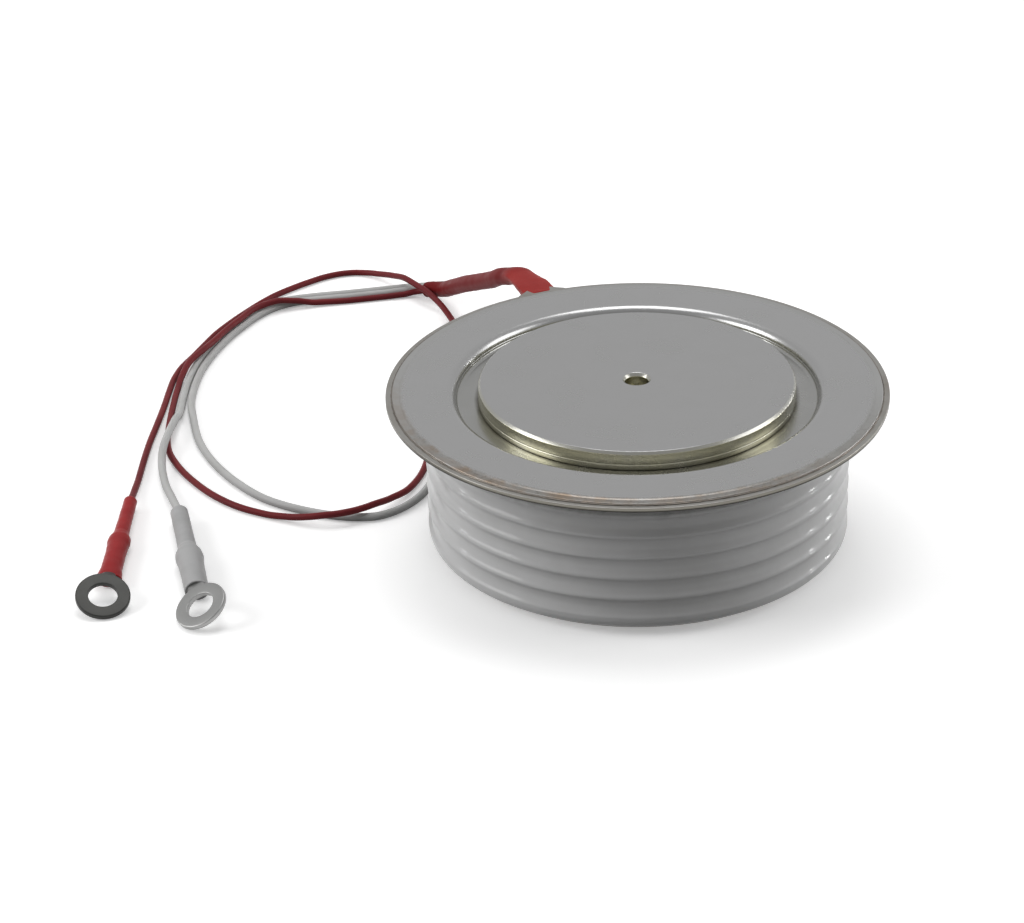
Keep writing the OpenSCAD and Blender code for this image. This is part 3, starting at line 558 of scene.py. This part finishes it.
cathode_route = [
    (-0.0341, 0.0873, 0.0016), (-0.0358, 0.088, 0.0011), (-0.038, 0.0878, 0.0007),
    (-0.0416, 0.0872, 0.0006), (-0.0476, 0.0861, 0.0006), (-0.0535, 0.0852, 0.0008),
    (-0.0572, 0.0844, 0.0016), (-0.0606, 0.0834, 0.0021), (-0.0641, 0.0811, 0.0019),
    (-0.0666, 0.0768, 0.00185), (-0.0689, 0.0722, 0.00185), (-0.0706, 0.068, 0.0019),
    (-0.0723, 0.064, 0.00205), (-0.0742, 0.06, 0.00185), (-0.07525, 0.0562, 0.0011),
    (-0.0757, 0.0516, 0.0006), (-0.0759, 0.046, 0.0006), (-0.0759, 0.0369, 0.0006),
    (-0.0757, 0.0325, 0.0006), (-0.075, 0.0286, 0.0006), (-0.0734, 0.0243, 0.0006),
    (-0.07, 0.0181, 0.0006), (-0.0665, 0.0134, 0.0006), (-0.0622, 0.0094, 0.0006),
    (-0.0581, 0.007, 0.0006), (-0.0546, 0.0054, 0.0009), (-0.0512, 0.0041, 0.0015),
    (-0.0478, 0.0035, 0.0021), (-0.0446, 0.0041, 0.00225), (-0.0414, 0.0062, 0.0021),
    (-0.0384, 0.0098, 0.0013), (-0.0356, 0.014, 0.0007), (-0.0339, 0.0184, 0.0006),
    (-0.0324, 0.027, 0.0006), (-0.0306, 0.045, 0.0006), (-0.0289, 0.062, 0.0006),
    (-0.0284, 0.07, 0.0006), (-0.0292, 0.0766, 0.0008), (-0.0314, 0.0814, 0.0018),
    (-0.0343, 0.0854, 0.0028), (-0.0372, 0.0897, 0.0028), (-0.0402, 0.0939, 0.0018),
    (-0.0433, 0.0969, 0.0009), (-0.0465, 0.0982, 0.0006), (-0.0495, 0.0979, 0.0006),
    (-0.0525, 0.0966, 0.0006), (-0.0555, 0.0944, 0.0006), (-0.0584, 0.0919, 0.0006),
    (-0.061, 0.0893, 0.0006), (-0.0634, 0.0862, 0.0006), (-0.0658, 0.0825, 0.0006),
    (-0.0685, 0.0779, 0.0006), (-0.0709, 0.0731, 0.0006), (-0.07255, 0.0687, 0.0006),
    (-0.0741, 0.0644, 0.0006), (-0.0757, 0.0602, 0.0006), (-0.07665, 0.0557, 0.0006),
    (-0.07705, 0.0512, 0.0006), (-0.0774, 0.0457, 0.0006), (-0.078, 0.0388, 0.0006),
    (-0.0786, 0.0325, 0.0006), (-0.079, 0.0255, 0.0006), (-0.0792, 0.0195, 0.0007),
    (-0.0794, 0.015, 0.001), (-0.07953, 0.01108, 0.0015),
]


def beside(route, offset):
    """A route moved sideways on the level by an offset."""
    moved = []
    for i, point in enumerate(route):
        along = Vector(route[min(i + 1, len(route) - 1)]) - Vector(route[max(i - 1, 0)])
        moved.append(Vector(point) + Vector((along.y, -along.x, 0)).normalized() * offset)
    return moved


def laid(route, steps=8):
    """Smooth points through a route, with no dip below its own points."""
    points = [Vector(p) for p in route]
    spans = [(b - a).length for a, b in zip(points, points[1:])]
    headings = [(b - a) / span for a, b, span in zip(points, points[1:], spans)]
    slopes = [headings[0]]
    for before, after, near, far in zip(headings, headings[1:], spans, spans[1:]):
        slope = (before * far + after * near) / (near + far)
        slope.z = 0 if before.z * after.z <= 0 else math.copysign(min(abs(before.z), abs(after.z)), after.z)
        slopes.append(slope)
    slopes.append(headings[-1])
    smooth = []
    for i, span in enumerate(spans):
        for t in (k / steps for k in range(steps)):
            smooth.append(points[i] * (2 * t ** 3 - 3 * t ** 2 + 1)
                          + slopes[i] * span * (t ** 3 - 2 * t ** 2 + t)
                          + points[i + 1] * (3 * t ** 2 - 2 * t ** 3)
                          + slopes[i + 1] * span * (t ** 3 - t ** 2))
    return smooth + [points[-1]]


# Soft plastic: its tone is slightly uneven, it has faint wrinkles and a dull, handled gloss.
plastic_skin, given, put = new_group(
    "Plastic skin", {"Color": "color", "Faded Color": "color", "Roughness": "value", "Wrinkle Scale": "value"},
    {"Color": "color", "Roughness": "value", "Height": "value"})
fading_scale, wrinkle_depth = 160.0, 0.0001
place = surface_place(plastic_skin)
fading = speckle(plastic_skin, place, fading_scale, detail=5.0)
tone = blend(plastic_skin, ramp(plastic_skin, fading, 0.35, 0.75), given["Color"], given["Faded Color"])
dull = math_node(plastic_skin, "MULTIPLY_ADD", fading, 0.2, given["Roughness"])
for label, socket in (("Color", tone), ("Roughness", dull),
                      ("Height", speckle(plastic_skin, place, given["Wrinkle Scale"]))):
    plastic_skin.links.new(socket, put[label])


def plastic(name, color, faded, roughness, wrinkle_scale, bump, gloss=0.12):
    """A soft plastic with its own colour, wrinkles and gloss."""
    return detailed(name, plastic_skin, {"Color": (*color, 1), "Faded Color": (*faded, 1),
                    "Roughness": roughness, "Wrinkle Scale": wrinkle_scale},
                    bump, wrinkle_depth, Specular_IOR_Level=gloss)


def lead(name, points, diameter, material, slot, node_name):
    """A lead as one open curve."""
    curve = bpy.data.curves.new(name, "CURVE")
    curve.dimensions = "3D"
    curve.bevel_depth = diameter / 2
    curve.bevel_resolution = 5
    curve.use_fill_caps = True
    spline = curve.splines.new("POLY")
    spline.points.add(len(points) - 1)
    for target, point in zip(spline.points, points):
        target.co = (*point, 1)
    piece = bpy.data.objects.new(name, curve)
    bpy.context.collection.objects.link(piece)
    return dressed(piece, material, slot, node_name)


white_skin = plastic("white lead skin", (0.50, 0.50, 0.495), (0.45, 0.45, 0.44),
                     roughness=0.34, wrinkle_scale=700.0, bump=0.15)[0]
red_skin = plastic("red lead skin", (0.19, 0.024, 0.027), (0.14, 0.018, 0.022),
                   roughness=0.34, wrinkle_scale=700.0, bump=0.15)[0]
gate_points = laid(beside(sleeve_route, lead_gap)[1:-1] + gate_route)
cathode_points = laid(beside(sleeve_route, -lead_gap)[1:-1] + cathode_route)
gate_lead = lead("lead_gate", gate_points, gate_lead_d, white_skin, "white_insulation", "gate_lead")
cathode_lead = lead("lead_cathode", cathode_points, cathode_lead_d, red_skin, "red_insulation", "cathode_lead")


# Lead sleeve: one red shrink sleeve over the ear, the gate tube and both leads. It is pressed flat
# at the rim, creases where it folds down, and hangs to the table as a round tube painted a deeper
# red for its shade.
sleeve_sections = [
    (0.0054, 0.0017, 0.0023, 0.0013, 0.5), (0.0053, 0.0015, 0.0021, 0.0012, 0.5),
    (0.0045, 0.0014, 0.0014, 0.0004, 0.35), (0.0029, 0.00145, 0.00145, 0, 0), (0.0029, 0.00145, 0.00145, 0, 0),
    (0.0029, 0.00145, 0.00145, 0, 0), (0.0029, 0.00145, 0.00145, 0, 0), (0.0029, 0.0014, 0.0014, 0, 0),
    (0.0031, 0.0014, 0.0014, 0, 0)]
sleeve_steps, sleeve_wrinkle = 16, 0.00005
fold_from_y, fold_to_y = 0.0435, 0.0475
crumple_scale, crease_scale, crease_share = 700, 1700, 0.5
lip_rows = ((0.96, -0.00008), (0.90, -0.00010), (0.82, -0.00004), (0.74, 0.0001))


def eased_between(values, at):
    """A row of values read at a place between two of them."""
    low = min(int(at), len(values) - 2)
    share = at - low
    share = share * share * (3 - 2 * share)
    return values[low] * (1 - share) + values[low + 1] * share


def swept(name, points, sections, wrinkle, sides=40):
    """A sleeve along points with a rolled lip at both ends. Each section gives its width, its height above
    and below the point, the height of its widest level, and how sharp its side edges are."""
    rows = []
    for i, (point, (wide, top, bottom, crown, pinch)) in enumerate(zip(points, sections)):
        along = (points[min(i + 1, len(points) - 1)] - points[max(i - 1, 0)]).normalized()
        side = along.cross(Vector((0, 0, 1))).normalized()
        up = side.cross(along)
        row = []
        for a in (2 * math.pi * k / sides for k in range(sides)):
            reach = top - crown if math.sin(a) > 0 else -bottom - crown
            out = side * math.cos(a) * wide / 2 + up * (crown + reach * abs(math.sin(a)) ** (1 + pinch))
            spot = point + out
            crumple = noise.noise(spot * crumple_scale) + crease_share * noise.noise(spot * crease_scale)
            row.append(point + out * (1 + wrinkle * crumple / out.length))
        rows.append(row)

    def lip(row, centre, inward):
        return [[centre + (p - centre) * share + inward * depth for p in row] for share, depth in lip_rows]

    first = lip(rows[0], points[0], (points[1] - points[0]).normalized())
    last = lip(rows[-1], points[-1], (points[-2] - points[-1]).normalized())
    build = bmesh.new()
    verts = [[build.verts.new(p) for p in row] for row in first[::-1] + rows + last]
    joined(build, verts, False)
    build.faces.new(verts[0])
    build.faces.new(verts[-1])
    return placed(name, build)


bright_red, faded_red, painted_shade_red = (0.33, 0.038, 0.034), (0.28, 0.031, 0.029), (0.16, 0.010, 0.011)
sleeve_red, tree, skin, _ = plastic("red shrink sleeve", bright_red, faded_red,
                                    roughness=0.42, wrinkle_scale=420.0, bump=0.25, gloss=0.06)
# Painted shade: past the fold the hanging tube is blended to a deeper red.
past_fold = ramp(tree, coordinate(tree, surface_place(tree), "Y"), fold_from_y, fold_to_y)
for label, color in (("Color", bright_red), ("Faded Color", faded_red)):
    tree.links.new(blend(tree, past_fold, (*color, 1), (*painted_shade_red, 1)), skin.inputs[label])
sleeve_points = laid(sleeve_route, sleeve_steps)
sleeve_ats = [i / sleeve_steps for i in range(len(sleeve_points))]
lead_sleeve = dressed(swept(
    "sleeve_leads", sleeve_points,
    [tuple(eased_between(row, at) for row in zip(*sleeve_sections)) for at in sleeve_ats], sleeve_wrinkle),
    sleeve_red, "red_sleeve", "lead_sleeve")


# Lug sleeves: short shrink sleeves in the leads' colours. They are wide over the lug's barrel, swell
# over its crimped end and are narrow over the lead.
lug_reach, lug_sleeve_step, lug_sleeve_wrinkle = 0.0056, 0.00025, 0.00003
table_gap = 0.00005
white_sleeve = plastic("white shrink sleeve", (0.42, 0.42, 0.42), (0.36, 0.36, 0.36),
                       roughness=0.30, wrinkle_scale=500.0, bump=0.3)[0]
red_lug_sleeve = plastic("red lug sleeve", (0.34, 0.022, 0.023), (0.27, 0.018, 0.020),
                         roughness=0.30, wrinkle_scale=500.0, bump=0.3)[0]
lugs = {
    "gate": dict(at=(-0.0656, -0.0240), heading=11, lean=30, turn=-156, barrel=0.0026, sleeve=0.0038,
                 skin=white_sleeve, slot="white_sleeve", stations=[
                     (0, 0.0037, 0.0034), (0.0020, 0.00375, 0.0036), (0.0060, 0.0038, 0.0037),
                     (0.0082, 0.0040, 0.0037), (0.0096, 0.0043, 0.0037), (0.0108, 0.0042, 0.0037),
                     (0.0120, 0.0034, 0.0034), (0.0130, 0.00295, 0.00295), (0.0180, 0.00285, 0.00285),
                     (0.0246, 0.0028, 0.0028), (0.0250, 0.0025, 0.0025)]),
    "cathode": dict(at=(-0.0806, -0.0196), heading=-2, lean=23, turn=-69, barrel=0.0020, sleeve=0.0029,
                    skin=red_lug_sleeve, slot="red_sleeve", stations=[
                        (0, 0.0041, 0.0024), (0.0012, 0.0038, 0.0026), (0.0032, 0.0033, 0.0028),
                        (0.0075, 0.0032, 0.0028), (0.0098, 0.0033, 0.0028), (0.0113, 0.0036, 0.0028),
                        (0.0123, 0.0035, 0.0028), (0.0132, 0.0028, 0.0026), (0.0140, 0.0024, 0.0024),
                        (0.0190, 0.0022, 0.0022), (0.0246, 0.0021, 0.0021), (0.0250, 0.0018, 0.0018)]),
}
for which, lug in lugs.items():
    lug["place"] = Matrix.Translation((*lug["at"], 0)) @ Matrix.Rotation(math.radians(lug["heading"]), 4, "Z")
    lug["axis_z"] = lug["sleeve"] / 2 + table_gap
    points, sections = [], []
    for (start, *near), (end, *far) in zip(lug["stations"], lug["stations"][1:]):
        count = max(2, round((end - start) / lug_sleeve_step))
        for t in (k / count for k in range(count)):
            points.append(lug["place"] @ Vector((0, lug_reach + start + (end - start) * t, lug["axis_z"])))
            wide, high = (eased_between(pair, t) for pair in zip(near, far))
            sections.append((wide, high / 2, high / 2, 0, 0))
    sleeve = swept(f"sleeve_{which}_lug", points, sections, lug_sleeve_wrinkle)
    lug["sleeve_piece"] = dressed(sleeve, lug["skin"], lug["slot"], f"{which}_lug_sleeve")


# Ring lugs: stamped from tinned copper sheet, with a crimped barrel inside the sleeve and a tongue
# that bends down to the ring. The red lead's lug has gone dark.
lug_ring_r, lug_hole_r, lug_t = 0.0041, 0.0022, 0.0008
tongue_half_w, tongue_root, tongue_tip = 0.0015, 0.0020, 0.0030
tongue_rows, tongue_sides, tongue_flattening = 9, 24, 1.6
lug_segments = 96
tin = plate("bright tin", (0.36, 0.36, 0.355), (0.29, 0.29, 0.28),
            patches=0.7, roughness=0.36, turning=0.2, bump=0.4)[0]
dark_tin = plate("tarnished tin", (0.050, 0.050, 0.048), (0.08, 0.08, 0.077),
                 patches=0.6, roughness=0.42, turning=0.2, bump=0.4)[0]
finishes = {"gate": (tin, "tinned_copper"), "cathode": (dark_tin, "darkened_copper")}
for which, lug in lugs.items():
    lean, turn = math.radians(lug["lean"]), math.radians(lug["turn"])
    ring_z = table_gap + lug_ring_r * math.sin(lean) + lug_t / 2 * math.cos(lean)
    ring_place = (lug["place"] @ Matrix.Translation((0, 0, ring_z)) @ Matrix.Rotation(turn, 4, "Z")
                  @ Matrix.Rotation(lean, 4, "Y") @ Matrix.Rotation(-turn, 4, "Z"))
    ring = turned(f"lug_{which}", rounded([
        (lug_hole_r, -lug_t / 2, 0.0001), (lug_ring_r, -lug_t / 2, 0.0002), (lug_ring_r, lug_t / 2, 0.0002),
        (lug_hole_r, lug_t / 2, 0.0001)]), lug_segments)
    ring.data.transform(ring_place)
    build = bmesh.new()
    build.from_mesh(ring.data)
    rows = []
    for t in (k / (tongue_rows - 1) for k in range(tongue_rows)):
        drop = t * t * (3 - 2 * t)
        row = []
        for a in (2 * math.pi * k / tongue_sides for k in range(tongue_sides)):
            across, over = math.cos(a), math.sin(a)
            root = lug["place"] @ Vector((lug["barrel"] / 2 * across, lug_reach + tongue_root,
                                          lug["axis_z"] + lug["barrel"] / 2 * over))
            tip = ring_place @ Vector((tongue_half_w * max(-1, min(1, tongue_flattening * across)), tongue_tip,
                                       lug_t / 2 * max(-1, min(1, tongue_flattening * over))))
            middle = root.lerp(tip, t)
            row.append(build.verts.new((middle.x, middle.y, root.z + (tip.z - root.z) * drop)))
        rows.append(row)
    joined(build, rows, False)
    build.faces.new(rows[0])
    build.faces.new(rows[-1])
    for face in build.faces:
        face.smooth = True
    bmesh.ops.recalc_face_normals(build, faces=build.faces)
    build.to_mesh(ring.data)
    build.free()
    lug["lug_piece"] = dressed(ring, *finishes[which], f"{which}_lug")


# Studio: a pale table with soft boxes at both sides and above, and low windows that put the glints on
# the glaze. The room is bright behind the case and dim in front, and the table glows where it is seen.
table_half = 4
table_lit, table_seen = (0.23, 0.23, 0.23, 1), (0.98, 0.98, 0.98, 1)
glow_from_r, glow_full_r, near_glow, far_glow = 0.5, 1.8, 0.30, 0.65
table_mesh = bpy.data.meshes.new("table")
table_mesh.from_pydata([(x * table_half, y * table_half, 0) for x, y in ((-1, -1), (1, -1), (1, 1), (-1, 1))],
                       [], [(0, 1, 2, 3)])
table = bpy.data.objects.new("table", table_mesh)
bpy.context.collection.objects.link(table)
table_white = bpy.data.materials.new("table white")
table_white.use_nodes = True
tree = table_white.node_tree
shader = tree.nodes["Principled BSDF"]
shader.inputs["Roughness"].default_value = 0.9
shader.inputs["Specular IOR Level"].default_value = 0.0
shader.inputs["Emission Color"].default_value = (1, 1, 1, 1)
rays = add(tree, "ShaderNodeLightPath").outputs
seen = math_node(tree, "MAXIMUM", rays["Is Camera Ray"], rays["Is Glossy Ray"])
seen = math_node(tree, "MAXIMUM", seen, rays["Is Transmission Ray"])
tree.links.new(blend(tree, seen, table_lit, table_seen), shader.inputs["Base Color"])
glow = ramp(tree, axis_distance(tree, surface_place(tree)), glow_from_r, glow_full_r, near_glow, far_glow)
tree.links.new(math_node(tree, "MULTIPLY", seen, glow), shader.inputs["Emission Strength"])
table.data.materials.append(table_white)

camera_spot = (-0.019156, -0.4057, 0.22735)
photo_width_px, focal_px, sensor_width_mm = 1024, 3000, 36
camera = bpy.data.objects.new("camera", bpy.data.cameras.new("camera"))
bpy.context.collection.objects.link(camera)
bpy.context.scene.camera = camera
pitch, roll = math.radians(27.91), math.radians(-1.56)
ahead = Vector((0, math.cos(pitch), -math.sin(pitch)))
sideways, rise = Vector((1, 0, 0)), Vector((0, math.sin(pitch), math.cos(pitch)))
right = sideways * math.cos(roll) + rise * math.sin(roll)
up = rise * math.cos(roll) - sideways * math.sin(roll)
camera.matrix_world = Matrix.Translation(camera_spot) @ Matrix((right, up, -ahead)).transposed().to_4x4()
camera.data.sensor_fit = "HORIZONTAL"
camera.data.sensor_width = sensor_width_mm
camera.data.lens = sensor_width_mm * focal_px / photo_width_px
camera.data.clip_start = 0.01

lamp_aim = Vector((0, 0, 0.01))
for name, spot, width, height, power in (
        ("left soft box", (-0.8, -0.08, 0.45), 0.5, 0.5, 3.6),
        ("right soft box", (0.8, 0.06, 0.45), 0.5, 0.5, 1.9),
        ("left window", (-1.17, 0.27, 0.16), 0.10, 0.20, 0.5),
        ("near right window", (1.19, 0.15, 0.16), 0.08, 0.14, 1.0),
        ("middle right window", (1.11, 0.45, 0.16), 0.08, 0.14, 0.9),
        ("far right window", (0.95, 0.74, 0.16), 0.08, 0.14, 0.6),
        ("overhead soft box", (0, 0.3, 1.1), 0.55, 0.6, 3.2)):
    lamp = bpy.data.objects.new(name, bpy.data.lights.new(name, "AREA"))
    lamp.data.shape = "RECTANGLE"
    lamp.data.size, lamp.data.size_y = width, height
    lamp.data.energy = power
    lamp.location = spot
    lamp.rotation_euler = (Vector(spot) - lamp_aim).to_track_quat("Z", "Y").to_euler()
    bpy.context.collection.objects.link(lamp)

room_front, room_front_mirrored, room_back = 0.17, 0.21, 0.66
world = bpy.data.worlds.new("room")
bpy.context.scene.world = world
world.use_nodes = True
tree = world.node_tree
toward_back = coordinate(tree, add(tree, "ShaderNodeTexCoord").outputs["Generated"], "Y")
mirrored = add(tree, "ShaderNodeLightPath").outputs["Is Glossy Ray"]
front = math_node(tree, "MULTIPLY_ADD", mirrored, room_front_mirrored, room_front)
strength = add(tree, "ShaderNodeMapRange", {"Value": toward_back, "From Min": -1.0, "From Max": 1.0,
               "To Min": front, "To Max": room_back}, interpolation_type="SMOOTHSTEP").outputs["Result"]
tree.nodes["Background"].inputs["Color"].default_value = (1, 1, 1, 1)
tree.links.new(strength, tree.nodes["Background"].inputs["Strength"])

bpy.context.scene.view_settings.view_transform = "Standard"
